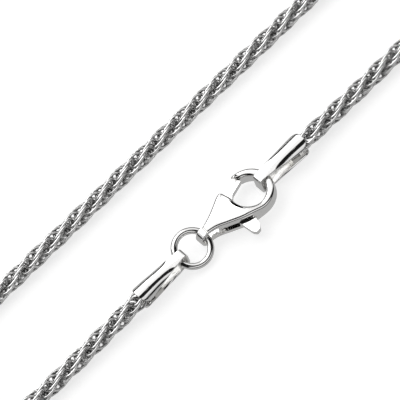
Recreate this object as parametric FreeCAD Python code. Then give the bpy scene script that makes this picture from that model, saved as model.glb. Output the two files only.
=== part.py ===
import FreeCAD, Part
import math
import os

from FreeCAD import Vector

# Rope chain necklace, laid flat and closed. Millimetres.
# +X runs along the fastened end of the chain, from the ring end cap to the hook end cap,
# +Y points to the parallel run of chain and +Z is up from the surface that it lies on.
# The origin is on that surface, under the middle of the clasp, the ring and both end caps.

# --- driving dimensions -------------------------------------------------------------
CHAIN_D = 2.3          # outside diameter of the rope chain
LAID_Z = CHAIN_D / 2   # height of the chain's axis where it lies on the surface
AXIS_Z = 1.45          # height of the clasp's middle plane and of both end caps
RUN_GAP = 14.3         # between the two parallel runs of chain

CAP_SHEET = 0.28       # end cap sheet thickness
CAP_LENGTH = 7.8
CAP_FOLD_WIDTH = 1.3   # strip width where it is folded round the ring or the hook
CAP_FOLD_CORNER = 0.5
ROPE_END = 6.2         # from the fold to the end face of the rope inside the cap
RING_CAP_X = -6.78     # outer face of the ring end cap's fold
RING_CAP_GAP = 1.65    # inside height of that fold
HOOK_CAP_X = 5.5       # outer face of the hook end cap's fold
HOOK_CAP_GAP = 2.2

RING_WIRE = 0.85
RING_RADIUS = 2.2      # to the wire's centre
RING_X = -5.6
RING_TILT = 22.0       # degrees about X: its near side rests low

TAIL_X = -3.25         # centre of the clasp's folded tail
TAIL_HALF_WIDTH = 0.6
TAIL_SHEET = 0.32
TAIL_GAP = 1.8
SHELL_Z = 1.32         # half the clasp's thickness over its body
HOOK_Z = 0.95          # half its thickness round the hook
HOOK_ROUNDING = 0.3
SLOT_Z = 0.45          # half the slot that the trigger moves in
RIB_ROOT = 0.2         # how deep the rib behind the trigger is set in the back half
SLOT_END_X = 2.3       # past this the two halves of the hook meet
HOLE_X, HOLE_Y, HOLE_R = 4.0, -0.1, 2.15
HOOK_X, HOOK_Y, HOOK_R = 4.1, -0.1, 3.15
PIVOT_X, PIVOT_Y = 0.6, 0.35
TIP_SWEEP_R = 4.3      # the hook's tip is cut to this radius about the trigger's pivot
TIP_CLEARANCE = 0.08
PIN_R = 0.3
PIN_HALF_LENGTH = 0.95
PIN_CLEARANCE = 0.04
TRIGGER_Z = 0.375      # half the trigger plate's thickness
SPRING_Z = 0.3
SPRING_THICK = 0.12

COIL_X, COIL_Y = 49.5, 7.15
COIL_OUTER_R = 13.5
COIL_INNER_R = 5.2
COIL_HEIGHT = 2 * CHAIN_D

# Everything is laid out about the ring-to-hook line, and then moved so that the origin is
# under the middle of the box round the clasp, the ring and the two end caps.
ORIGIN_X, ORIGIN_Y = (RING_CAP_X + HOOK_CAP_X) / 2, -0.8

# The chain's route from the ring end cap round to the coil, and from the hook end cap to it.
LONG_ROUTE = [
    (RING_CAP_X - ROPE_END, 0.0, AXIS_Z), (-17.0, 0.0, AXIS_Z), (-21.5, 0.0, LAID_Z),
    (-39.5, 0.0, LAID_Z), (-39.5, 14.1, LAID_Z), (-25.5, RUN_GAP, LAID_Z),
    (31.0, RUN_GAP, LAID_Z), (41.0, 14.6, 1.5),
]
SHORT_ROUTE = [
    (HOOK_CAP_X + ROPE_END, 0.0, AXIS_Z), (15.6, 0.0, AXIS_Z), (20.0, 0.0, LAID_Z),
    (31.0, 0.0, LAID_Z), (41.0, -0.3, LAID_Z),
]
ARC_SHARE = 0.45       # each bend takes this share of the shorter run beside it


def save(name, shape, pieces=1):
    """Check one sub-part and write its STEP file."""
    shape = shape.removeSplitter().translated(Vector(-ORIGIN_X, -ORIGIN_Y, 0))
    if not shape.isValid() or len(shape.Solids) != pieces:
        raise ValueError(f"{name}: valid {shape.isValid()}, solids {len(shape.Solids)}")
    shape.exportStep(f"parts/{name}.step")
    box = shape.BoundBox
    print(f"{name}: {shape.Volume:.2f} mm3, z {box.ZMin:.2f} to {box.ZMax:.2f}")
    return shape


def arc(start, middle, end):
    """An edge on the circle through three points."""
    return Part.Arc(Vector(*start), Vector(*middle), Vector(*end)).toShape()


def line(start, end):
    """A straight edge."""
    return Part.LineSegment(Vector(*start), Vector(*end)).toShape()


def spline(points):
    """A smooth edge through points."""
    curve = Part.BSplineCurve()
    curve.interpolate([Vector(*p) for p in points])
    return curve.toShape()


def prism(edges, direction):
    """The solid that a closed flat outline sweeps along a direction."""
    outline = Part.Wire(Part.__sortEdges__(edges))
    return Part.Face(outline).extrude(Vector(*direction))


def polygon(points, direction):
    """A prism with straight sides."""
    corners = [Vector(*p) for p in points]
    return Part.Face(Part.makePolygon(corners + corners[:1])).extrude(Vector(*direction))


# --- end caps -----------------------------------------------------------------------
def leg_section(x, half_width, top, drop):
    """A slice across a cap's upper leg: an arched strip whose sides hang by drop."""
    radius = (half_width ** 2 + drop ** 2) / (2 * drop)
    centre = top - radius
    share = (radius - CAP_SHEET) / radius
    inner_half = half_width * share
    inner_side = centre + (top - drop - centre) * share
    outer = [(x, -half_width, top - drop), (x, 0, top), (x, half_width, top - drop)]
    inner = [(x, inner_half, inner_side), (x, 0, top - CAP_SHEET), (x, -inner_half, inner_side)]
    return Part.Wire([arc(*outer), line(outer[2], inner[0]), arc(*inner), line(inner[2], outer[0])])


def fold(gap):
    """The strip's squarish U bend, with its outer face at x = 0 and its legs towards +x."""
    def u_side(offset, radius):
        half = gap / 2 + CAP_SHEET - offset
        k = radius * (1 - math.sqrt(0.5))
        far = CAP_FOLD_CORNER + 0.15
        return half, [
            line((far, 0, half), (offset + radius, 0, half)),
            arc((offset + radius, 0, half), (offset + k, 0, half - k), (offset, 0, half - radius)),
            line((offset, 0, half - radius), (offset, 0, radius - half)),
            arc((offset, 0, radius - half), (offset + k, 0, k - half), (offset + radius, 0, -half)),
            line((offset + radius, 0, -half), (far, 0, -half)),
        ]
    outer_half, outer = u_side(0, CAP_FOLD_CORNER)
    inner_half, inner = u_side(CAP_SHEET, CAP_FOLD_CORNER - CAP_SHEET)
    far = CAP_FOLD_CORNER + 0.15
    ends = [
        line((far, 0, -outer_half), (far, 0, -inner_half)),
        line((far, 0, inner_half), (far, 0, outer_half)),
    ]
    bend = prism(outer + [ends[0]] + inner + [ends[1]], (0, CAP_FOLD_WIDTH, 0))
    bend.translate(Vector(0, -CAP_FOLD_WIDTH / 2, 0))
    return bend


def end_cap(gap):
    """A folded strip whose two legs widen into a split cup, with the fold at x = 0."""
    fold_top = gap / 2 + CAP_SHEET
    cup_top = AXIS_Z
    middle_top = (fold_top + cup_top) / 2
    sections = [
        leg_section(CAP_FOLD_CORNER + 0.1, CAP_FOLD_WIDTH / 2, fold_top, 0.02),
        leg_section(2.0, 0.72, fold_top, 0.05),
        leg_section(3.0, 0.95, middle_top, 0.4),
        leg_section(4.5, 1.22, middle_top + 0.06, 0.8),
        leg_section(6.0, 1.4, cup_top, 1.08),
        leg_section(CAP_LENGTH, 1.4, cup_top, 1.08),
    ]
    upper = Part.makeLoft(sections, True, True)
    lower = upper.mirror(Vector(0, 0, 0), Vector(0, 0, 1))
    return fold(gap).fuse([upper, lower])


def solder_fill(cap):
    """Solder that fills the cup behind the rope's end face."""
    plug = Part.makeCylinder(1.28, 1.3, Vector(ROPE_END - 1.3, 0, 0), Vector(1, 0, 0))
    return plug.cut(cap)


def place_cap(shape, x, turned):
    """Put a cap's shape at its place, with its cup towards -X if turned."""
    placed = shape.copy()
    if turned:
        placed.rotate(Vector(0, 0, 0), Vector(0, 0, 1), 180)
    placed.translate(Vector(x, 0, AXIS_Z))
    return placed


# --- clasp --------------------------------------------------------------------------
def circle_meet(centre_a, radius_a, centre_b, radius_b):
    """The upper of the two points where two circles meet."""
    dx, dy = centre_b[0] - centre_a[0], centre_b[1] - centre_a[1]
    apart = math.hypot(dx, dy)
    along = (radius_a ** 2 - radius_b ** 2 + apart ** 2) / (2 * apart)
    across = math.sqrt(radius_a ** 2 - along ** 2)
    ux, uy = dx / apart, dy / apart
    return centre_a[0] + along * ux - across * uy, centre_a[1] + along * uy + across * ux


def on_circle(centre, radius, degrees):
    """A point on a circle in the clasp's plane."""
    angle = math.radians(degrees)
    return centre[0] + radius * math.cos(angle), centre[1] + radius * math.sin(angle), 0


def angle_of(point, centre):
    """The direction from a centre to a point, in degrees."""
    return math.degrees(math.atan2(point[1] - centre[1], point[0] - centre[0]))


def clasp_outline():
    """The clasp seen from above: tail, pear-shaped body and open hook."""
    hole, hook, pivot = (HOLE_X, HOLE_Y), (HOOK_X, HOOK_Y), (PIVOT_X, PIVOT_Y)
    tip_in = circle_meet(pivot, TIP_SWEEP_R, hole, HOLE_R) + (0,)
    tip_out = circle_meet(pivot, TIP_SWEEP_R, hook, HOOK_R) + (0,)
    tip_middle = on_circle(pivot, TIP_SWEEP_R, (angle_of(tip_in, pivot) + angle_of(tip_out, pivot)) / 2)
    hole_start = on_circle(hole, HOLE_R, 160)
    hook_root = on_circle(hook, HOOK_R, -105)
    tail_top, tail_low = (TAIL_X, TAIL_HALF_WIDTH, 0), (TAIL_X, -TAIL_HALF_WIDTH, 0)
    shoulder, crest, neck = (0.75, 2.26, 0), (1.35, 2.4, 0), (1.75, 1.95, 0)
    return [
        spline([tail_top, (-1.65, 1.12, 0), (-0.3, 1.72, 0), shoulder]),
        arc(shoulder, crest, neck),
        line(neck, hole_start),
        arc(hole_start, on_circle(hole, HOLE_R, 290), tip_in),
        arc(tip_in, tip_middle, tip_out),
        arc(tip_out, on_circle(hook, HOOK_R, 0), hook_root),
        spline([hook_root, (1.4, -2.62, 0), (-0.4, -1.74, 0), (-2.0, -0.93, 0), tail_low]),
        line(tail_low, tail_top),
    ]


def shell_half(way):
    """Half of the clasp, upwards or downwards: a plate over the slot that thickens into half the hook."""
    plate = prism(clasp_outline(), (0, 0, 3 * way))
    tail_in, tail_out = TAIL_GAP / 2, TAIL_GAP / 2 + TAIL_SHEET
    side = [
        (TAIL_X, -5, tail_in), (-2.0, -5, tail_in), (-1.4, -5, SLOT_Z), (SLOT_END_X, -5, SLOT_Z),
        (SLOT_END_X, -5, 0), (8, -5, 0), (8, -5, HOOK_Z), (3.6, -5, HOOK_Z), (2.2, -5, SHELL_Z),
        (-1.2, -5, SHELL_Z), (TAIL_X, -5, tail_out),
    ]
    half = plate.common(polygon([(x, y, z * way) for x, y, z in side], (0, 10, 0)))
    rims = [
        e for e in half.Edges
        if e.BoundBox.XMin > 3.5 and e.Length > 1.2
        and abs(e.BoundBox.ZMin - HOOK_Z * way) < 0.001 and e.BoundBox.ZLength < 0.001
    ]
    half = half.makeFillet(HOOK_ROUNDING, rims)
    return half.cut(pivot_pin())


def tail_bend():
    """The half tube of sheet that wraps round the jump ring's wire."""
    inner, outer = TAIL_GAP / 2, TAIL_GAP / 2 + TAIL_SHEET
    return prism([
        arc((TAIL_X, 0, outer), (TAIL_X - outer, 0, 0), (TAIL_X, 0, -outer)),
        line((TAIL_X, 0, -outer), (TAIL_X, 0, -inner)),
        arc((TAIL_X, 0, -inner), (TAIL_X - inner, 0, 0), (TAIL_X, 0, inner)),
        line((TAIL_X, 0, inner), (TAIL_X, 0, outer)),
    ], (0, 2 * TAIL_HALF_WIDTH, 0)).translated(Vector(0, -TAIL_HALF_WIDTH, 0))


def spine_rib():
    """The wall that joins the two halves behind the trigger."""
    foot = -SLOT_Z - RIB_ROOT
    wall = [(-1.3, 1.12, foot), (0.3, 1.93, foot), (0.45, 1.6, foot), (-1.15, 0.78, foot)]
    return polygon(wall, (0, 0, 2 * SLOT_Z + RIB_ROOT))


def trigger():
    """The lever: a gate bar that closes the hook, a pivot boss and a thumb tab."""
    outline = [
        (0.1, 1.0), (1.6, 2.1), (3.7, 2.95), (4.6, 2.6), (4.4, 1.85), (2.5, 1.35), (1.55, 0.4),
        (1.5, -1.4), (1.9, -2.6), (2.15, -3.15), (1.95, -3.95), (1.55, -4.55), (0.95, -4.65),
        (0.65, -4.2), (0.5, -2.6), (-0.15, -0.1),
    ]
    plate = polygon([(x, y, -TRIGGER_Z) for x, y in outline], (0, 0, 2 * TRIGGER_Z))
    upright = [e for e in plate.Edges if abs(e.tangentAt(e.FirstParameter).z) > 0.99]
    plate = plate.makeFillet(0.12, upright)
    sweep = Part.makeCylinder(TIP_SWEEP_R - TIP_CLEARANCE, 2, Vector(PIVOT_X, PIVOT_Y, -1))
    bore = Part.makeCylinder(PIN_R + PIN_CLEARANCE, 2, Vector(PIVOT_X, PIVOT_Y, -1))
    tab_side = polygon([(-2, -2, -1), (4, -2, -1), (4, -6, -1), (-2, -6, -1)], (0, 0, 2))
    return plate.common(sweep.fuse(tab_side)).cut(bore)


def pivot_pin():
    """The pin that the trigger turns on, held in both halves."""
    return Part.makeCylinder(PIN_R, 2 * PIN_HALF_LENGTH, Vector(PIVOT_X, PIVOT_Y, -PIN_HALF_LENGTH))


def trigger_spring():
    """A hairpin leaf spring that holds the trigger shut."""
    def path(inset):
        return [
            line((-0.55, 0.75 - inset, 0), (-1.05, 0.75 - inset, 0)),
            arc((-1.05, 0.75 - inset, 0), (-1.35 + inset, 0.3, 0), (-1.05, -0.15 + inset, 0)),
            line((-1.05, -0.15 + inset, 0), (-0.6, -0.15 + inset, 0)),
        ]
    ends = [
        line((-0.6, -0.15, 0), (-0.6, -0.15 + SPRING_THICK, 0)),
        line((-0.55, 0.75, 0), (-0.55, 0.75 - SPRING_THICK, 0)),
    ]
    leaf = prism(path(0) + [ends[0]] + path(SPRING_THICK) + [ends[1]], (0, 0, 2 * SPRING_Z))
    return leaf.translated(Vector(0, 0, -SPRING_Z))


# --- chain --------------------------------------------------------------------------
def rope(points):
    """A round tube along straight runs joined by tangent arcs, and its bend radii."""
    route = [Vector(*p) for p in points]
    edges, radii, start = [], [], route[0]
    for before, corner, after in zip(route, route[1:], route[2:]):
        back, ahead = (before - corner), (after - corner)
        reach = ARC_SHARE * min(back.Length, ahead.Length)
        half_turn = (math.pi - back.getAngle(ahead)) / 2
        radius = reach / math.tan(half_turn)
        back.normalize()
        ahead.normalize()
        inward = back + ahead
        inward.normalize()
        depth = radius / math.cos(half_turn) - radius
        enter, leave = corner + back * reach, corner + ahead * reach
        edges.append(Part.LineSegment(start, enter).toShape())
        edges.append(Part.Arc(enter, corner + inward * depth, leave).toShape())
        radii.append(round(radius, 1))
        start = leave
    edges.append(Part.LineSegment(start, route[-1]).toShape())
    path = Part.Wire(edges)
    section = Part.Wire(Part.makeCircle(CHAIN_D / 2, route[0], route[1] - route[0]))
    tube = path.makePipeShell([section], True, False)
    expected = math.pi * CHAIN_D ** 2 / 4 * path.Length
    print(f"rope length {path.Length:.1f}, radii {radii}, volume {tube.Volume:.1f} of {expected:.1f}")
    return tube


def coil():
    """The outer shape of the put-away chain: a flat coil two layers high."""
    disc = Part.makeCylinder(COIL_OUTER_R, COIL_HEIGHT, Vector(COIL_X, COIL_Y, 0))
    return disc.cut(Part.makeCylinder(COIL_INNER_R, COIL_HEIGHT, Vector(COIL_X, COIL_Y, 0)))


def main():
    """Build and write every sub-part."""
    os.makedirs("parts", exist_ok=True)
    up = Vector(0, 0, AXIS_Z)

    caps = [("ring", RING_CAP_X, RING_CAP_GAP, True), ("hook", HOOK_CAP_X, HOOK_CAP_GAP, False)]
    for end, x, gap, turned in caps:
        cap = end_cap(gap)
        save(f"{end}_end_cap", place_cap(cap, x, turned))
        save(f"{end}_end_solder", place_cap(solder_fill(cap), x, turned))

    ring = Part.makeTorus(RING_RADIUS, RING_WIRE / 2)
    ring.rotate(Vector(0, 0, 0), Vector(1, 0, 0), RING_TILT)
    save("jump_ring", ring.translated(Vector(RING_X, 0, AXIS_Z)))

    front = shell_half(1)
    back = shell_half(-1).fuse(spine_rib())
    save("clasp_front_shell", front.fuse(tail_bend()).translated(up))
    save("clasp_back_shell", back.translated(up))
    save("trigger_lever", trigger().translated(up))
    save("trigger_pivot_pin", pivot_pin().translated(up))
    save("trigger_spring", trigger_spring().translated(up))

    wound = coil()
    save("rope_chain_coil", wound)
    save("rope_chain_long_run", rope(LONG_ROUTE).cut(wound))
    save("rope_chain_short_run", rope(SHORT_ROUTE).cut(wound))


main()
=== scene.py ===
"""A rope chain necklace, closed with a trigger clasp and laid flat on a pale surface."""
import logging
import math
from dataclasses import dataclass
from enum import Enum

import bmesh
import bpy
import numpy as np
from mathutils import Matrix, Vector


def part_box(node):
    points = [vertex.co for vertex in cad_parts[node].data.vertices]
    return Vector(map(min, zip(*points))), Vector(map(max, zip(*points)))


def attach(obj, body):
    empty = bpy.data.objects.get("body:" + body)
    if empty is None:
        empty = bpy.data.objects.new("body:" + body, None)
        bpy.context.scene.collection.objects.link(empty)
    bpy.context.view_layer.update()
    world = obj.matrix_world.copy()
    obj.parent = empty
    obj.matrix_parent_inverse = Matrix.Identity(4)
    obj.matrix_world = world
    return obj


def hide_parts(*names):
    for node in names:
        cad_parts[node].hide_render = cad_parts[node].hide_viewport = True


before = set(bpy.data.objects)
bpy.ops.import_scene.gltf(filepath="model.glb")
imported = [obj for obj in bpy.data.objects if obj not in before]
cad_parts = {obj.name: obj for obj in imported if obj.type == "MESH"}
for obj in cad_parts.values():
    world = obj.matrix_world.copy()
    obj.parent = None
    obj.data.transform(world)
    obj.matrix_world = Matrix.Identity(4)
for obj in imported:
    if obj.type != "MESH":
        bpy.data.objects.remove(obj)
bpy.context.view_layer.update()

MM = 0.001
LOG = logging.getLogger("necklace")
Point2 = tuple[float, float]
Point3 = tuple[float, float, float]

# The layout's X runs along the line from the ring cap to the hook cap, past the lever's pin.
RING_FOLD_X = -6.78
HOOK_FOLD_X = 5.5
CAP_LENGTH = 7.8
CAP_LOW, CAP_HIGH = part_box("ring_end_cap")
LAYOUT_X = CAP_HIGH.x - RING_FOLD_X * MM
LAYOUT_Y = (CAP_LOW.y + CAP_HIGH.y) / 2
AXIS_Z = (CAP_LOW.z + CAP_HIGH.z) / 2 / MM


def place(x: float, y: float, z: float) -> Vector:
    """Turn a point of the layout, in millimetres, into the frame's metres."""
    return Vector((LAYOUT_X + x * MM, LAYOUT_Y + y * MM, z * MM))


def ease(value: float, start: float, end: float) -> float:
    """Rise smoothly from 0 at start to 1 at end."""
    share = min(1.0, max(0.0, (value - start) / (end - start)))
    return share * share * (3 - 2 * share)


class Slot(Enum):
    """The record's material slots."""

    POLISHED = "silver_polished"
    CHAIN = "silver_chain"
    SOLDER = "solder"
    SPRING = "spring_steel"


# --- finishes -------------------------------------------------------------------------
def fine_wear_group() -> bpy.types.NodeTree:
    """Build the shader group for polishing haze and hairline scratches.

    Returns:
        A node group with Haze and Scratches masks and a Height.
    """
    group = bpy.data.node_groups.new("fine_wear", "ShaderNodeTree")
    group.interface.new_socket("Haze Scale", in_out="INPUT", socket_type="NodeSocketFloat")
    group.interface.new_socket("Scratch Scale", in_out="INPUT", socket_type="NodeSocketFloat")
    for name in ("Haze", "Scratches", "Height"):
        group.interface.new_socket(name, in_out="OUTPUT", socket_type="NodeSocketFloat")
    nodes, links = group.nodes, group.links
    inputs, outputs = nodes.new("NodeGroupInput"), nodes.new("NodeGroupOutput")
    where = nodes.new("ShaderNodeTexCoord")
    haze = nodes.new("ShaderNodeTexNoise")
    haze.inputs["Detail"].default_value = 4.0
    stretch = nodes.new("ShaderNodeMapping")
    stretch.inputs["Rotation"].default_value = (0.3, 0.2, 0.7)
    stretch.inputs["Scale"].default_value = (1.0, 14.0, 5.0)
    hairlines = nodes.new("ShaderNodeTexNoise")
    hairlines.inputs["Detail"].default_value = 2.0
    thin = nodes.new("ShaderNodeMapRange")
    thin.interpolation_type = "SMOOTHSTEP"
    thin.inputs["From Min"].default_value = 0.60
    thin.inputs["From Max"].default_value = 0.72
    total = nodes.new("ShaderNodeMath")
    total.operation = "SUBTRACT"
    links.new(where.outputs["Object"], haze.inputs["Vector"])
    links.new(inputs.outputs["Haze Scale"], haze.inputs["Scale"])
    links.new(where.outputs["Object"], stretch.inputs["Vector"])
    links.new(stretch.outputs["Vector"], hairlines.inputs["Vector"])
    links.new(inputs.outputs["Scratch Scale"], hairlines.inputs["Scale"])
    links.new(hairlines.outputs[0], thin.inputs["Value"])
    links.new(haze.outputs[0], total.inputs[0])
    links.new(thin.outputs["Result"], total.inputs[1])
    links.new(haze.outputs[0], outputs.inputs["Haze"])
    links.new(thin.outputs["Result"], outputs.inputs["Scratches"])
    links.new(total.outputs["Value"], outputs.inputs["Height"])
    return group


@dataclass(frozen=True)
class MetalFinish:
    """A metal with haze, hairlines and a little relief; a painted shade attribute, where given, takes the
    hairlines' place and darkens the colour where shade falls.
    """

    name: str
    bright: Point3
    scratch_and_shade_tone: Point3
    smooth: float
    rough: float
    haze_scale: float
    scratch_scale: float
    relief_mm: float
    painted_shade_attribute: str = ""

    def build(self, wear: bpy.types.NodeTree) -> bpy.types.Material:
        """Make the material.

        Args:
            wear: The shared fine wear group.

        Returns:
            The finished material.
        """
        material = bpy.data.materials.new(self.name)
        material.use_nodes = True
        nodes, links = material.node_tree.nodes, material.node_tree.links
        surface = nodes["Principled BSDF"]
        surface.inputs["Metallic"].default_value = 1.0
        group = nodes.new("ShaderNodeGroup")
        group.node_tree = wear
        group.inputs["Haze Scale"].default_value = self.haze_scale
        group.inputs["Scratch Scale"].default_value = self.scratch_scale
        # The second colour is the hairlines' tone, and on the chain the tone of the painted shade.
        tone = nodes.new("ShaderNodeMix")
        tone.data_type = "RGBA"
        tone.inputs["A"].default_value = (*self.bright, 1.0)
        tone.inputs["B"].default_value = (*self.scratch_and_shade_tone, 1.0)
        rough = nodes.new("ShaderNodeMapRange")
        rough.inputs["From Min"].default_value = 0.3
        rough.inputs["From Max"].default_value = 0.75
        rough.inputs["To Min"].default_value = self.smooth
        rough.inputs["To Max"].default_value = self.rough
        bump = nodes.new("ShaderNodeBump")
        bump.inputs["Distance"].default_value = self.relief_mm * MM
        links.new(group.outputs["Haze"], rough.inputs["Value"])
        links.new(rough.outputs["Result"], surface.inputs["Roughness"])
        links.new(group.outputs["Height"], bump.inputs["Height"])
        links.new(bump.outputs["Normal"], surface.inputs["Normal"])
        # Where a shade attribute is given, it paints shade into the colour in place of the hairlines.
        if self.painted_shade_attribute:
            painted_crevice_shade = nodes.new("ShaderNodeAttribute")
            painted_crevice_shade.attribute_name = self.painted_shade_attribute
            links.new(painted_crevice_shade.outputs["Fac"], tone.inputs["Factor"])
        else:
            links.new(group.outputs["Scratches"], tone.inputs["Factor"])
        links.new(tone.outputs["Result"], surface.inputs["Base Color"])
        return material


class Finishes:
    """Every finish on the necklace, made once."""

    def __init__(self) -> None:
        """Build the shared group and the materials."""
        wear = fine_wear_group()
        self.polished = MetalFinish(
            "polished_silver", (0.95, 0.945, 0.935), (0.86, 0.855, 0.85), 0.035, 0.085, 260.0, 900.0, 0.002
        ).build(wear)
        self.inside = MetalFinish(
            "unpolished_silver", (0.72, 0.715, 0.70), (0.60, 0.59, 0.57), 0.30, 0.48, 900.0, 700.0, 0.02
        ).build(wear)
        # The chain's dark tone (0.14) is painted shade: the crevice attribute darkens each wire's inner side
        # and the rope's core, where the gaps between the wires lie in shade.
        self.chain = MetalFinish(
            "chain_silver", (0.96, 0.955, 0.95), (0.14, 0.14, 0.14), 0.08, 0.16, 700.0, 1500.0, 0.002,
            "painted_crevice_shade",
        ).build(wear)
        self.solder = MetalFinish(
            "silver_solder", (0.74, 0.73, 0.70), (0.55, 0.54, 0.52), 0.25, 0.50, 1600.0, 900.0, 0.05
        ).build(wear)
        self.spring = MetalFinish(
            "drawn_spring_wire", (0.62, 0.62, 0.61), (0.48, 0.48, 0.48), 0.15, 0.30, 600.0, 1800.0, 0.004
        ).build(wear)


# --- mesh helpers ---------------------------------------------------------------------
def arc_points(centre: Point2, radius: float, start: float, end: float, count: int) -> list[Point2]:
    """Sample an arc, its ends included.

    Args:
        centre: The arc's centre.
        radius: Its radius.
        start: The first angle in degrees.
        end: The last angle in degrees.
        count: How many points.

    Returns:
        The points in order.
    """
    turns = np.radians(np.linspace(start, end, count))
    return [(centre[0] + radius * math.cos(t), centre[1] + radius * math.sin(t)) for t in turns]


def smooth_through(points: list[Point2], count: int) -> list[Point2]:
    """Sample a smooth line through points.

    Args:
        points: The points that the line passes.
        count: How many samples between each two of them.

    Returns:
        The samples, both ends included.
    """
    known = np.array([points[0], *points, points[-1]])
    samples = []
    for before, here, there, after in zip(known, known[1:], known[2:], known[3:]):
        for t in np.linspace(0, 1, count, endpoint=False):
            leaving, arriving = (there - before) / 2, (after - here) / 2
            point = (
                (2 * t**3 - 3 * t**2 + 1) * here + (t**3 - 2 * t**2 + t) * leaving
                + (3 * t**2 - 2 * t**3) * there + (t**3 - t**2) * arriving
            )
            samples.append((float(point[0]), float(point[1])))
    return [*samples, points[-1]]


def angle_between(point: Point2, centre: Point2) -> float:
    """The direction from a centre to a point, in degrees."""
    return math.degrees(math.atan2(point[1] - centre[1], point[0] - centre[0]))


def circles_meet(centre_a: Point2, radius_a: float, centre_b: Point2, radius_b: float) -> Point2:
    """Find the upper of the two points where two circles meet.

    Args:
        centre_a: The first circle's centre.
        radius_a: The first circle's radius.
        centre_b: The second circle's centre.
        radius_b: The second circle's radius.

    Returns:
        The point.
    """
    dx, dy = centre_b[0] - centre_a[0], centre_b[1] - centre_a[1]
    apart = math.hypot(dx, dy)
    along = (radius_a**2 - radius_b**2 + apart**2) / (2 * apart)
    across = math.sqrt(radius_a**2 - along**2)
    return (
        centre_a[0] + (along * dx - across * dy) / apart,
        centre_a[1] + (along * dy + across * dx) / apart,
    )


def finish_piece(
    shape: bmesh.types.BMesh, name: str, body: str, materials: list[bpy.types.Material],
    sharp_degrees: float = 40.0,
) -> bpy.types.Object:
    """Turn a mesh in layout millimetres into a piece that rides on a body.

    Args:
        shape: The mesh, which is freed.
        name: The piece's name.
        body: The body that it rides on.
        materials: Its materials, the main one first.
        sharp_degrees: Edges that turn by more than this stay crisp.

    Returns:
        The new object.
    """
    bmesh.ops.scale(shape, vec=(MM, MM, MM), verts=shape.verts)
    bmesh.ops.translate(shape, vec=place(0, 0, 0), verts=shape.verts)
    mesh = bpy.data.meshes.new(name)
    shape.to_mesh(mesh)
    shape.free()
    mesh.shade_smooth()
    mesh.set_sharp_from_angle(angle=math.radians(sharp_degrees))
    for material in materials:
        mesh.materials.append(material)
    piece = bpy.data.objects.new(name, mesh)
    bpy.context.scene.collection.objects.link(piece)
    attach(piece, body)
    return piece


def level_faces(edge: bmesh.types.BMEdge) -> bool:
    """Say whether an edge lies between a flat face and an upright one.

    Args:
        edge: The edge.

    Returns:
        True for the rim of a plate, and false for its corners.
    """
    if len(edge.link_faces) != 2:
        return False
    steep = sorted(abs(face.normal.z) for face in edge.link_faces)
    return steep[0] < 0.4 and steep[1] > 0.6


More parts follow.
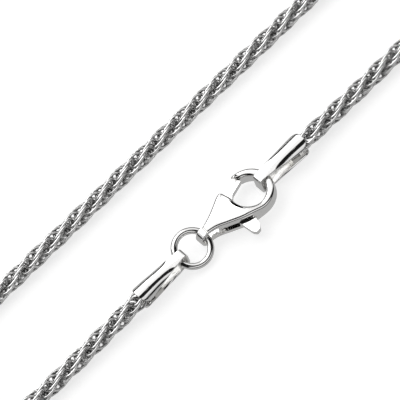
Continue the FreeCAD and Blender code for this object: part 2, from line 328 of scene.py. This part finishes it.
# --- the chain ------------------------------------------------------------------------
@dataclass
class RopeChain:
    """The rope chain: small wire rings twisted left-handed round one another."""

    finishes: Finishes
    diameter: float = 2.3
    laid_z: float = 1.15
    run_gap: float = 14.3
    length: float = 425.0
    full_twist: float = 14.24
    rings_per_twist: int = 28
    wire: float = 0.36
    ring_stretch: float = 1.3
    ring_twist_share: float = 0.4
    spread: float = 0.2
    crown_radius: float = 1.13
    crown_give: float = 0.3
    core_radius: float = 0.72
    end_margin: float = 1.4
    wire_sides: int = 5
    ring_steps: int = 12
    coil_start: float = 120.0
    coil_centre: Point2 = (49.5, 7.15)
    coil_radius: float = 12.3
    coil_pitch: float = 2.45
    points_per_turn: int = 12
    coil_steps: int = 56
    rope_end: float = 6.2

    @property
    def ring_radius(self) -> float:
        """The radius of a wire ring's middle line."""
        return (self.diameter + self.spread - self.wire) / 2

    def coil_route(self) -> list[Point3]:
        """Wind the put-away coil: inwards on the upper layer, then outwards on the lower one.

        Returns:
            Its points, which stand out from the turns as the spline's control points do.
        """
        turn = 2 * math.pi / self.points_per_turn
        stand_out = 8 / (6 + 2 * math.cos(turn))
        route = []
        for step in range(self.coil_steps + 1):
            from_end = min(step, self.coil_steps - step) / self.points_per_turn
            radius = (self.coil_radius - self.coil_pitch * from_end) * stand_out
            angle = math.radians(self.coil_start) - step * turn
            middle = self.coil_steps / 2
            fall = ease(step, middle - 3, middle + 3)
            rise = ease(step, -3, 1.5)
            height = self.laid_z + self.diameter * (1 - fall) * rise
            route.append((
                self.coil_centre[0] + radius * math.cos(angle),
                self.coil_centre[1] + radius * math.sin(angle),
                height,
            ))
        return route

    def route(self) -> list[Point3]:
        """List the chain's route, from the cap at the ring round to the cap at the hook.

        Returns:
            The spline's points in layout millimetres.
        """
        low, gap = self.laid_z, self.run_gap
        return [
            (RING_FOLD_X - self.rope_end, 0.0, AXIS_Z), (-17.0, 0.0, AXIS_Z), (-21.5, 0.0, low),
            (-39.5, 0.0, low), (-39.5, 14.1, low), (-25.5, gap, low), (31.0, gap, low),
            (37.0, gap, 1.7), (40.0, 15.3, 2.6),
            *self.coil_route(),
            (40.0, -1.0, low), (37.0, 0.0, low), (31.0, 0.0, low), (20.0, 0.0, low),
            (15.6, 0.0, AXIS_Z), (HOOK_FOLD_X + self.rope_end, 0.0, AXIS_Z),
        ]

    def centre_line(self) -> np.ndarray:
        """Read the route's smooth line, evenly spaced.

        Returns:
            Points in metres, about a tenth of the chain's diameter apart.
        """
        curve = bpy.data.curves.new("chain_line", "CURVE")
        curve.dimensions = "3D"
        spline = curve.splines.new("NURBS")
        route = self.route()
        spline.points.add(len(route) - 1)
        for point, (x, y, z) in zip(spline.points, route):
            point.co = (*place(x, y, z), 1.0)
        spline.order_u = 3
        spline.use_endpoint_u = True
        spline.resolution_u = 16
        holder = bpy.data.objects.new("chain_line", curve)
        mesh = bpy.data.meshes.new_from_object(holder)
        line = np.array([v.co for v in mesh.vertices])
        bpy.data.meshes.remove(mesh)
        bpy.data.curves.remove(curve)
        along = np.concatenate([[0], np.cumsum(np.linalg.norm(np.diff(line, axis=0), axis=1))])
        even = np.linspace(0, along[-1], int(along[-1] / (0.1 * self.diameter * MM)))
        return np.stack([np.interp(even, along, line[:, k]) for k in range(3)], axis=1)

    def wire_ring(self) -> tuple[np.ndarray, list[tuple[int, ...]]]:
        """Spin one wire ring in millimetres: x across the chain, z along it.

        Returns:
            Its points and its faces.
        """
        shape = bmesh.new()
        made = bmesh.ops.create_circle(shape, segments=self.wire_sides, radius=self.wire / 2)
        bmesh.ops.translate(shape, vec=(self.ring_radius, 0, 0), verts=made["verts"])
        bmesh.ops.spin(
            shape, geom=shape.edges[:], cent=(0, 0, 0), axis=(0, 1, 0), angle=2 * math.pi,
            steps=self.ring_steps, use_merge=True,
        )
        bmesh.ops.remove_doubles(shape, verts=shape.verts, dist=1e-4)
        bmesh.ops.scale(shape, vec=(1, 1, self.ring_stretch), verts=shape.verts)
        bmesh.ops.recalc_face_normals(shape, faces=shape.faces)
        shape.verts.index_update()
        points = np.array([v.co for v in shape.verts])
        faces = [tuple(v.index for v in face.verts) for face in shape.faces]
        shape.free()
        return points, faces

    def build(self) -> bpy.types.Object:
        """Returns:
            The chain's object.
        """
        line = self.centre_line()
        step = np.linalg.norm(line[1] - line[0])
        forward = np.gradient(line, axis=0)
        forward /= np.linalg.norm(forward, axis=1)[:, None]
        up = np.array([0.0, 0.0, 1.0]) - forward * forward[:, 2:3]
        up /= np.linalg.norm(up, axis=1)[:, None]
        side = np.cross(forward, up)
        total = step * (len(line) - 1) / MM
        ring, faces = self.wire_ring()
        spacing = self.full_twist / self.rings_per_twist
        starts = np.arange(self.end_margin, total - self.end_margin, spacing)
        twist_rate = -2 * math.pi / self.full_twist
        crossed = np.arange(len(starts))[:, None] * math.pi / 2
        angle = crossed + twist_rate * (starts[:, None] + self.ring_twist_share * ring[None, :, 2])
        across = ring[None, :, 0] * np.cos(angle) - ring[None, :, 1] * np.sin(angle)
        beside = ring[None, :, 0] * np.sin(angle) + ring[None, :, 1] * np.cos(angle)
        reach = np.hypot(across, beside)
        crown = np.minimum(reach, self.crown_radius + self.crown_give * (reach - self.crown_radius))
        across, beside = across * crown / reach, beside * crown / reach
        at = (starts[:, None] + ring[None, :, 2]) * MM / step

        def along(values: np.ndarray) -> np.ndarray:
            """Read vectors at every vertex's place along the chain.

            Args:
                values: One vector for each point of the line.

            Returns:
                One vector for each vertex.
            """
            return np.stack([np.interp(at, np.arange(len(line)), values[:, k]) for k in range(3)], axis=-1)

        points = along(line) + (across[..., None] * along(up) + beside[..., None] * along(side)) * MM
        count = len(ring)
        everything = [tuple(i + count * k for i in face) for k in range(len(starts)) for face in faces]
        mesh = bpy.data.meshes.new("rope_chain")
        mesh.from_pydata(points.reshape(-1, 3), [], everything)
        mesh.shade_smooth()
        # Painted shade: darken each wire's inner side and the wires near the rope's core, standing in for the
        # shade in the gaps between the wires.
        painted_crevice_shade = mesh.attributes.new("painted_crevice_shade", "FLOAT", "POINT")
        inward = (self.ring_radius - np.hypot(ring[:, 0], ring[:, 2] / self.ring_stretch)) * 2 / self.wire
        inner_side = np.clip(0.15 + 0.85 * inward, 0, 1)[None, :]
        near_core = np.clip((self.core_radius - crown) / 0.9, 0, 0.4)
        painted_shade_amount = np.maximum(inner_side, near_core)
        painted_crevice_shade.data.foreach_set("value", painted_shade_amount.reshape(-1).astype(np.float32))
        mesh.materials.append(self.finishes.chain)
        chain = bpy.data.objects.new("rope_chain", mesh)
        bpy.context.scene.collection.objects.link(chain)
        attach(chain, "chain")
        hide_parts("rope_chain_coil", "rope_chain_long_run", "rope_chain_short_run")
        LOG.info("rope chain: %d rings on %.1f mm", len(starts), total)
        return chain


# --- the end caps ---------------------------------------------------------------------
@dataclass
class EndCap:
    """A strip folded round a ring or hook, whose legs open into a split cup."""

    finishes: Finishes
    name: str
    node: str
    fold_x: float
    gap: float
    turned: bool
    mouth_drop: float
    sheet: float = 0.28
    half_strip: float = 0.65
    corner: float = 0.5
    mouth_half: float = 1.4
    mouth_rounding: float = 0.9
    bend_share: float = 0.22
    edge_rounding: float = 0.06
    stations: int = 30
    across: int = 16

    def leg(self, x: float, w: float) -> Point3:
        """A point on the upper leg's outer face.

        Args:
            x: The distance from the fold.
            w: The place across the leg, from -1 to 1.

        Returns:
            The point, with the fold at x = 0.
        """
        fold_top = self.gap / 2 + self.sheet
        known = (0.6, 2.0, 3.0, 4.5, 6.0, CAP_LENGTH)
        half = float(np.interp(x, known, (self.half_strip, 0.8, 0.92, 1.1, 1.27, self.mouth_half)))
        drop = self.mouth_drop * float(np.interp(x, known, (0.03, 0.08, 0.3, 0.6, 0.85, 1.0)))
        top = fold_top + (AXIS_Z - fold_top) * ease(x, 1.2, 6.2)
        half_angle = 2 * math.atan(drop / half)
        radius = (half**2 + drop**2) / (2 * drop)
        return x, radius * math.sin(w * half_angle), top - radius * (1 - math.cos(w * half_angle))

    def outer_point(self, v: float, w: float) -> Point3:
        """A point on the strip's outer face.

        Args:
            v: The place along the strip: 1 at the upper mouth, 0 at the fold, -1 at the lower mouth.
            w: The place across it.

        Returns:
            The point, with the fold at x = 0.
        """
        half = self.gap / 2 + self.sheet
        side = 1.0 if v >= 0 else -1.0
        if abs(v) > self.bend_share:
            share = (abs(v) - self.bend_share) / (1 - self.bend_share)
            reach = CAP_LENGTH - self.mouth_rounding * abs(w) ** 3
            x, y, z = self.leg(self.corner + (reach - self.corner) * share, w)
            return x, y, side * z
        flat = half - self.corner
        around = math.pi / 2 * self.corner
        walked = abs(v) / self.bend_share * (flat + around)
        if walked <= flat:
            return 0.0, w * self.half_strip, side * walked
        turn = (walked - flat) / self.corner
        x, z = self.corner * (1 - math.cos(turn)), flat + self.corner * math.sin(turn)
        return x, w * self.half_strip, side * z

    def build(self) -> bpy.types.Object:
        """Bend a flat grid into the cap and give it its thickness.

        Returns:
            The cap's object.
        """
        shape = bmesh.new()
        bmesh.ops.create_grid(shape, x_segments=2 * self.stations, y_segments=self.across, size=1.0)
        for vert in shape.verts:
            vert.co = self.outer_point(vert.co.x, vert.co.y)
        bmesh.ops.recalc_face_normals(shape, faces=shape.faces)
        if sum(face.normal.x for face in shape.faces if face.calc_center_median().x < 0.05) > 0:
            bmesh.ops.reverse_faces(shape, faces=shape.faces)
        if self.turned:
            bmesh.ops.rotate(shape, matrix=Matrix.Rotation(math.pi, 3, "Z"), verts=shape.verts)
        bmesh.ops.translate(shape, vec=(self.fold_x, 0, AXIS_Z), verts=shape.verts)
        materials = [self.finishes.polished, self.finishes.inside]
        cap = finish_piece(shape, self.name, "chain", materials, 60)
        wall = cap.modifiers.new("sheet", "SOLIDIFY")
        wall.thickness, wall.offset, wall.use_even_offset = self.sheet * MM, -1.0, True
        wall.material_offset = 1
        edges = cap.modifiers.new("edges", "BEVEL")
        edges.width, edges.segments, edges.limit_method = self.edge_rounding * MM, 3, "ANGLE"
        edges.angle_limit = math.radians(50)
        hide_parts(self.node)
        LOG.info("%s: fold at %.2f mm", self.name, self.fold_x)
        return cap


# --- the jump ring --------------------------------------------------------------------
@dataclass
class JumpRing:
    """A round wire ring, soldered shut, that leans on its near side."""

    finishes: Finishes
    wire: float = 0.85
    radius: float = 2.2
    x: float = -5.6
    tilt: float = 22.0
    seam_angle: float = 118.0
    seam_swell: float = 0.02

    def build(self) -> bpy.types.Object:
        """Spin the wire's section into the ring.

        Returns:
            The ring's object.
        """
        shape = bmesh.new()
        section = bmesh.ops.create_circle(shape, segments=24, radius=self.wire / 2)["verts"]
        bmesh.ops.rotate(shape, matrix=Matrix.Rotation(math.pi / 2, 3, "X"), verts=section)
        bmesh.ops.translate(shape, vec=(self.radius, 0, 0), verts=section)
        bmesh.ops.spin(
            shape, geom=shape.edges[:], cent=(0, 0, 0), axis=(0, 0, 1), angle=2 * math.pi, steps=72,
            use_merge=True,
        )
        bmesh.ops.remove_doubles(shape, verts=shape.verts, dist=1e-4)
        bmesh.ops.recalc_face_normals(shape, faces=shape.faces)
        seam = math.radians(self.seam_angle)
        for vert in shape.verts:
            near = abs(math.atan2(vert.co.y, vert.co.x) - seam) * self.radius
            swell = 1 + self.seam_swell * (1 - ease(near, 0.05, 0.45))
            flat = Vector((vert.co.x, vert.co.y, 0)).normalized() * self.radius
            vert.co = flat + (vert.co - flat) * swell
        bmesh.ops.rotate(shape, matrix=Matrix.Rotation(math.radians(self.tilt), 3, "X"), verts=shape.verts)
        bmesh.ops.translate(shape, vec=(self.x, 0, AXIS_Z), verts=shape.verts)
        ring = finish_piece(shape, "soldered_jump_ring", "ring", [self.finishes.polished])
        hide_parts("jump_ring")
        LOG.info("jump ring: %.2f mm across", 2 * self.radius + self.wire)
        return ring


# --- the clasp ------------------------------------------------------------------------
@dataclass
class Clasp:
    """A trigger clasp: two plates with a slot between them, a folded tail and a lever."""

    finishes: Finishes
    hole: Point2 = (4.0, -0.1)
    hole_radius: float = 2.15
    hook: Point2 = (4.1, -0.1)
    hook_radius: float = 3.15
    pivot: Point2 = (0.6, 0.35)
    tip_sweep: float = 4.3
    tail_x: float = -3.25
    tail_half: float = 0.6
    tail_gap: float = 1.8
    tail_sheet: float = 0.32
    body_half: float = 1.32
    hook_half: float = 0.95
    slot_half: float = 0.45
    rim_rounding: float = 0.46
    tail_rounding: float = 0.09
    lever_half: float = 0.375
    lever_corner: float = 0.16
    lever_rounding: float = 0.09

    def outline(self) -> list[Point2]:
        """Draw the clasp's plan: tail, pear-shaped body and open hook.

        Returns:
            Its points in order, in layout millimetres.
        """
        tip_in = circles_meet(self.pivot, self.tip_sweep, self.hole, self.hole_radius)
        tip_out = circles_meet(self.pivot, self.tip_sweep, self.hook, self.hook_radius)
        tail_top, tail_low = (self.tail_x, self.tail_half), (self.tail_x, -self.tail_half)
        flank = smooth_through([tail_top, (-1.65, 1.08), (-0.3, 1.7), (0.75, 2.22), (1.3, 2.36)], 7)
        neck = smooth_through([(1.3, 2.36), (1.62, 2.12), (1.83, 1.5), (1.95, 0.75)], 5)
        hole_end = angle_between(tip_in, self.hole) + 360
        inner = arc_points(self.hole, self.hole_radius, 160, hole_end, 44)
        tip = ((tip_in[0] + tip_out[0]) / 2 - 0.14, (tip_in[1] + tip_out[1]) / 2)
        hook_start = angle_between(tip_out, self.hook)
        outer = arc_points(self.hook, self.hook_radius, hook_start, -105, 48)
        keel = smooth_through([outer[-1], (1.4, -2.6), (-0.4, -1.72), (-2.0, -0.9), tail_low], 8)
        return [*flank[:-1], *neck[:-1], *inner[1:-1], tip_in, tip, *outer[:-1], *keel]

    def outer_height(self, x: float) -> float:
        """Find half the clasp's thickness.

        Args:
            x: The place along the clasp.

        Returns:
            The height of a half's outer face above the middle plane.
        """
        tail = self.tail_gap / 2 + self.tail_sheet
        rise = tail + (self.body_half - tail) * ease(x, self.tail_x, -1.2)
        return rise + (self.hook_half - self.body_half) * ease(x, 1.7, 4.2)

    def inner_height(self, x: float) -> float:
        """Find a half's inner face: open round the ring, then the slot, then shut.

        Args:
            x: The place along the clasp.

        Returns:
            The height of the inner face above the middle plane.
        """
        slot = self.tail_gap / 2 + (self.slot_half - self.tail_gap / 2) * ease(x, -2.3, -1.1)
        return slot * (1 - ease(x, 2.15, 2.5))

    def half(self) -> bmesh.types.BMesh:
        """Build the upper half about the clasp's middle plane.

        Returns:
            A closed mesh in layout millimetres.
        """
        shape = bmesh.new()
        shape.faces.new([shape.verts.new((x, y, 0)) for x, y in self.outline()])
        cuts = [-2.8, -2.3, -1.9, -1.5, -1.1, 1.75, 2.15, 2.5, 2.9, 3.3, 3.7, 4.1]
        for cut in cuts:
            bmesh.ops.bisect_plane(
                shape, geom=[*shape.verts, *shape.edges, *shape.faces], plane_co=(cut, 0, 0),
                plane_no=(1, 0, 0), dist=1e-5,
            )
        bmesh.ops.remove_doubles(shape, verts=shape.verts, dist=0.045)
        made = bmesh.ops.extrude_face_region(shape, geom=shape.faces[:])["geom"]
        upper = {item for item in made if isinstance(item, bmesh.types.BMVert)}
        for vert in shape.verts:
            x = vert.co.x
            vert.co.z = self.outer_height(x) if vert in upper else self.inner_height(x)
        bmesh.ops.recalc_face_normals(shape, faces=shape.faces)
        shape.normal_update()
        rims = [e for e in shape.edges if level_faces(e) and e.verts[0] in upper and e.verts[1] in upper]
        bmesh.ops.bevel(
            shape, geom=rims, offset=self.rim_rounding, segments=5, profile=0.5, affect="EDGES",
            clamp_overlap=False, material=-1,
        )
        return shape

    def tail(self) -> bmesh.types.BMesh:
        """Bend the tail's sheet round the jump ring's wire.

        Returns:
            A closed mesh about the clasp's middle plane.
        """
        shape = bmesh.new()
        bmesh.ops.create_grid(shape, x_segments=18, y_segments=4, size=1.0)
        outer = self.tail_gap / 2 + self.tail_sheet
        for vert in shape.verts:
            turn = math.radians(180 + 90 * vert.co.x)
            across = vert.co.y * self.tail_half
            vert.co = (self.tail_x + outer * math.cos(turn), across, outer * math.sin(turn))
        bmesh.ops.recalc_face_normals(shape, faces=shape.faces)
        if sum(face.normal.x for face in shape.faces) > 0:
            bmesh.ops.reverse_faces(shape, faces=shape.faces)
        bmesh.ops.solidify(shape, geom=shape.faces[:], thickness=self.tail_sheet)
        bmesh.ops.recalc_face_normals(shape, faces=shape.faces)
        sharp = [e for e in shape.edges if len(e.link_faces) == 2 and e.calc_face_angle(0) > 1.0]
        bmesh.ops.bevel(
            shape, geom=sharp, offset=self.tail_rounding, segments=3, profile=0.5, affect="EDGES",
            clamp_overlap=True, material=-1,
        )
        return shape

    def build_plates(self) -> list[bpy.types.Object]:
        """Build both halves and the folded tail.

        Returns:
            The front and back pieces.
        """
        front, tail = self.half(), self.tail()
        scrap = bpy.data.meshes.new("tail_scrap")
        tail.to_mesh(scrap)
        tail.free()
        front.from_mesh(scrap)
        bpy.data.meshes.remove(scrap)
        back = self.half()
        bmesh.ops.scale(back, vec=(1, 1, -1), verts=back.verts)
        bmesh.ops.recalc_face_normals(back, faces=back.faces)
        pieces = []
        for shape, name, node in (
            (front, "clasp_front_plate", "clasp_front_shell"), (back, "clasp_back_plate", "clasp_back_shell"),
        ):
            bmesh.ops.translate(shape, vec=(0, 0, AXIS_Z), verts=shape.verts)
            piece = finish_piece(shape, name, "clasp", [self.finishes.polished], 45)
            even = piece.modifiers.new("even_shading", "WEIGHTED_NORMAL")
            even.keep_sharp = True
            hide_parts(node)
            pieces.append(piece)
        LOG.info("clasp plates: %.1f mm long", self.hook[0] + self.hook_radius - self.tail_x)
        return pieces

    def build_lever(self) -> bpy.types.Object:
        """Build the lever: gate bar, boss and thumb tab.

        Returns:
            The lever's object.
        """
        limit = self.tip_sweep - 0.08
        end = arc_points(self.pivot, limit, 38, 22, 7)
        gate = [(0.1, 1.0), (1.6, 2.1), *end, (2.5, 1.35), (1.55, 0.4)]
        tab = [
            (1.5, -1.4), (1.9, -2.6), (2.15, -3.15), (1.95, -3.95), (1.55, -4.55), (0.95, -4.65),
            (0.65, -4.2), (0.5, -2.6), (-0.15, -0.1),
        ]
        shape = bmesh.new()
        shape.faces.new([shape.verts.new((x, y, -self.lever_half)) for x, y in [*gate, *tab]])
        made = bmesh.ops.extrude_face_region(shape, geom=shape.faces[:])["geom"]
        lifted = [item for item in made if isinstance(item, bmesh.types.BMVert)]
        bmesh.ops.translate(shape, vec=(0, 0, 2 * self.lever_half), verts=lifted)
        bmesh.ops.recalc_face_normals(shape, faces=shape.faces)
        corners = [e for e in shape.edges if abs(e.verts[0].co.z - e.verts[1].co.z) > self.lever_half]
        bmesh.ops.bevel(
            shape, geom=corners, offset=self.lever_corner, segments=4, profile=0.5, affect="EDGES",
            clamp_overlap=True, material=-1,
        )
        shape.normal_update()
        rims = [e for e in shape.edges if level_faces(e)]
        bmesh.ops.bevel(
            shape, geom=rims, offset=self.lever_rounding, segments=3, profile=0.5, affect="EDGES",
            clamp_overlap=True, material=-1,
        )
        bmesh.ops.translate(shape, vec=(0, 0, AXIS_Z), verts=shape.verts)
        lever = finish_piece(shape, "gate_and_thumb_tab", "trigger", [self.finishes.polished])
        even = lever.modifiers.new("even_shading", "WEIGHTED_NORMAL")
        even.keep_sharp = True
        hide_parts("trigger_lever")
        LOG.info("trigger lever: %.2f mm thick", 2 * self.lever_half)
        return lever


# --- carried-over pieces --------------------------------------------------------------
def dress_kept_nodes(finishes: Finishes) -> None:
    """Give the solder, the pin and the spring their finishes.

    Args:
        finishes: Every finish on the necklace.
    """
    kept = {
        "ring_end_solder": finishes.solder, "hook_end_solder": finishes.solder,
        "trigger_pivot_pin": finishes.spring, "trigger_spring": finishes.spring,
    }
    for node, material in kept.items():
        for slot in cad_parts[node].material_slots:
            slot.material = material
        LOG.info("%s: %s", node, material.name)


# --- the set --------------------------------------------------------------------------
@dataclass
class Studio:
    """The pale surface, the lights and the camera."""

    aim: Point3 = (-0.1, 4.95, 0.0)
    azimuth: float = 22.05
    elevation: float = 58.0
    roll: float = 24.83
    distance: float = 0.336
    lens: float = 250.0
    floor_tone: float = 0.45
    floor_glow: float = 0.72
    mirrored_glow: float = 0.42
    tent_foot: Point2 = (0.28, 0.4)
    gap_near: Point2 = (-0.16, -0.06)
    gap_far: Point2 = (-0.6, -0.68)
    tent_levels: Point2 = (0.45, 0.98)
    backdrop: float = 0.95
    lamp_place: Point3 = (-0.12, 0.62, 0.62)
    lamp_size: Point2 = (1.0, 0.8)
    lamp_power: float = 3.6

    def camera(self) -> None:
        """Look down at the clasp along a long lens."""
        turn, height = math.radians(self.azimuth), math.radians(self.elevation)
        right = Vector((math.cos(turn), -math.sin(turn), 0))
        away = Vector((math.sin(turn), math.cos(turn), 0))
        up = math.sin(height) * away + math.cos(height) * Vector((0, 0, 1))
        tip = math.radians(self.roll)
        leaned_right = math.cos(tip) * right - math.sin(tip) * up
        leaned_up = math.sin(tip) * right + math.cos(tip) * up
        back = leaned_right.cross(leaned_up)
        data = bpy.data.cameras.new("camera")
        data.lens, data.sensor_width = self.lens, 36.0
        data.clip_start, data.clip_end = 0.01, 20.0
        camera = bpy.data.objects.new("camera", data)
        turned = Matrix((leaned_right, leaned_up, back)).transposed().to_4x4()
        camera.matrix_world = Matrix.Translation(place(*self.aim) + back * self.distance) @ turned
        bpy.context.scene.collection.objects.link(camera)
        bpy.context.scene.camera = camera

    def surface(self) -> None:
        """Lay a pale matt surface, which the metal mirrors as a mid grey."""
        shape = bmesh.new()
        bmesh.ops.create_grid(shape, x_segments=1, y_segments=1, size=1.5)
        mesh = bpy.data.meshes.new("pale_surface")
        shape.to_mesh(mesh)
        shape.free()
        material = bpy.data.materials.new("pale_surface")
        material.use_nodes = True
        nodes, links = material.node_tree.nodes, material.node_tree.links
        paint = nodes["Principled BSDF"]
        paint.inputs["Base Color"].default_value = (*[self.floor_tone] * 3, 1)
        paint.inputs["Roughness"].default_value = 0.9
        paint.inputs["Specular IOR Level"].default_value = 0.1
        paint.inputs["Emission Color"].default_value = (1, 1, 1, 1)
        paint.inputs["Emission Strength"].default_value = self.floor_glow
        mirrored = nodes.new("ShaderNodeEmission")
        mirrored.inputs["Strength"].default_value = self.mirrored_glow
        seen, either = nodes.new("ShaderNodeLightPath"), nodes.new("ShaderNodeMixShader")
        links.new(seen.outputs["Is Glossy Ray"], either.inputs["Fac"])
        links.new(paint.outputs["BSDF"], either.inputs[1])
        links.new(mirrored.outputs["Emission"], either.inputs[2])
        links.new(either.outputs["Shader"], nodes["Material Output"].inputs["Surface"])
        mesh.materials.append(material)
        floor = bpy.data.objects.new("pale_surface", mesh)
        bpy.context.scene.collection.objects.link(floor)

    def sky(self) -> None:
        """Surround the set with a white tent, dark round its foot and in a gap at the front."""
        world = bpy.data.worlds.new("tent")
        bpy.context.scene.world = world
        world.use_nodes = True
        nodes, links = world.node_tree.nodes, world.node_tree.links
        glow = nodes["Background"]
        where = nodes.new("ShaderNodeTexCoord")
        split = nodes.new("ShaderNodeSeparateXYZ")
        links.new(where.outputs["Generated"], split.inputs["Vector"])

        def rise(source: bpy.types.NodeSocket, low: float, high: float) -> bpy.types.NodeSocket:
            """Make a smooth mask.

            Args:
                source: The value that it reads.
                low: Where it is 0.
                high: Where it is 1.

            Returns:
                The mask's socket.
            """
            node = nodes.new("ShaderNodeMapRange")
            node.interpolation_type = "SMOOTHSTEP"
            node.inputs["From Min"].default_value, node.inputs["From Max"].default_value = low, high
            links.new(source, node.inputs["Value"])
            return node.outputs["Result"]

        def combine(operation: str, *sources: bpy.types.NodeSocket) -> bpy.types.NodeSocket:
            """Join masks.

            Args:
                operation: The sum's name.
                sources: The masks.

            Returns:
                The result's socket.
            """
            node = nodes.new("ShaderNodeMath")
            node.operation = operation
            for socket, source in zip(node.inputs, sources):
                links.new(source, socket)
            return node.outputs["Value"]

        z, y = split.outputs["Z"], split.outputs["Y"]
        above_foot = rise(z, *self.tent_foot)
        past_gap = combine("MAXIMUM", rise(y, *self.gap_near), rise(y, *self.gap_far))
        white = combine("MULTIPLY", above_foot, past_gap)
        dome = nodes.new("ShaderNodeMapRange")
        dome.inputs["From Min"].default_value, dome.inputs["From Max"].default_value = 0.1, 0.85
        dome.inputs["To Min"].default_value, dome.inputs["To Max"].default_value = self.tent_levels
        links.new(z, dome.inputs["Value"])
        level = nodes.new("ShaderNodeMapRange")
        level.inputs["To Min"].default_value = 0.01
        links.new(combine("MULTIPLY", white, dome.outputs["Result"]), level.inputs["Value"])
        seen = nodes.new("ShaderNodeLightPath")
        plain = nodes.new("ShaderNodeMix")
        plain.inputs["B"].default_value = self.backdrop
        links.new(seen.outputs["Is Camera Ray"], plain.inputs["Factor"])
        links.new(level.outputs["Result"], plain.inputs["A"])
        links.new(plain.outputs["Result"], glow.inputs["Strength"])
        glow.inputs["Color"].default_value = (1, 1, 1, 1)

    def lamp(self) -> None:
        """Hang one large soft lamp up and behind, so that shadows fall forwards."""
        data = bpy.data.lights.new("soft_lamp", "AREA")
        data.shape, data.energy = "RECTANGLE", self.lamp_power
        data.size, data.size_y = self.lamp_size
        lamp = bpy.data.objects.new("soft_lamp", data)
        away = Vector(self.lamp_place)
        lamp.matrix_world = Matrix.Translation(away) @ away.to_track_quat("Z", "Y").to_matrix().to_4x4()
        bpy.context.scene.collection.objects.link(lamp)

    def build(self) -> None:
        """Set everything up."""
        self.camera()
        self.surface()
        self.sky()
        self.lamp()
        bpy.context.scene.view_settings.view_transform = "Standard"


def main() -> None:
    """Build the necklace piece by piece."""
    logging.basicConfig(level=logging.INFO, format="%(name)s: %(message)s")
    finishes = Finishes()
    Studio().build()
    RopeChain(finishes).build()
    EndCap(finishes, "folded_cap_at_ring", "ring_end_cap", RING_FOLD_X, 1.65, True, 1.25).build()
    EndCap(finishes, "folded_cap_at_hook", "hook_end_cap", HOOK_FOLD_X, 2.2, False, 0.78).build()
    JumpRing(finishes).build()
    clasp = Clasp(finishes)
    clasp.build_plates()
    clasp.build_lever()
    dress_kept_nodes(finishes)


if __name__ == "__main__":
    main()
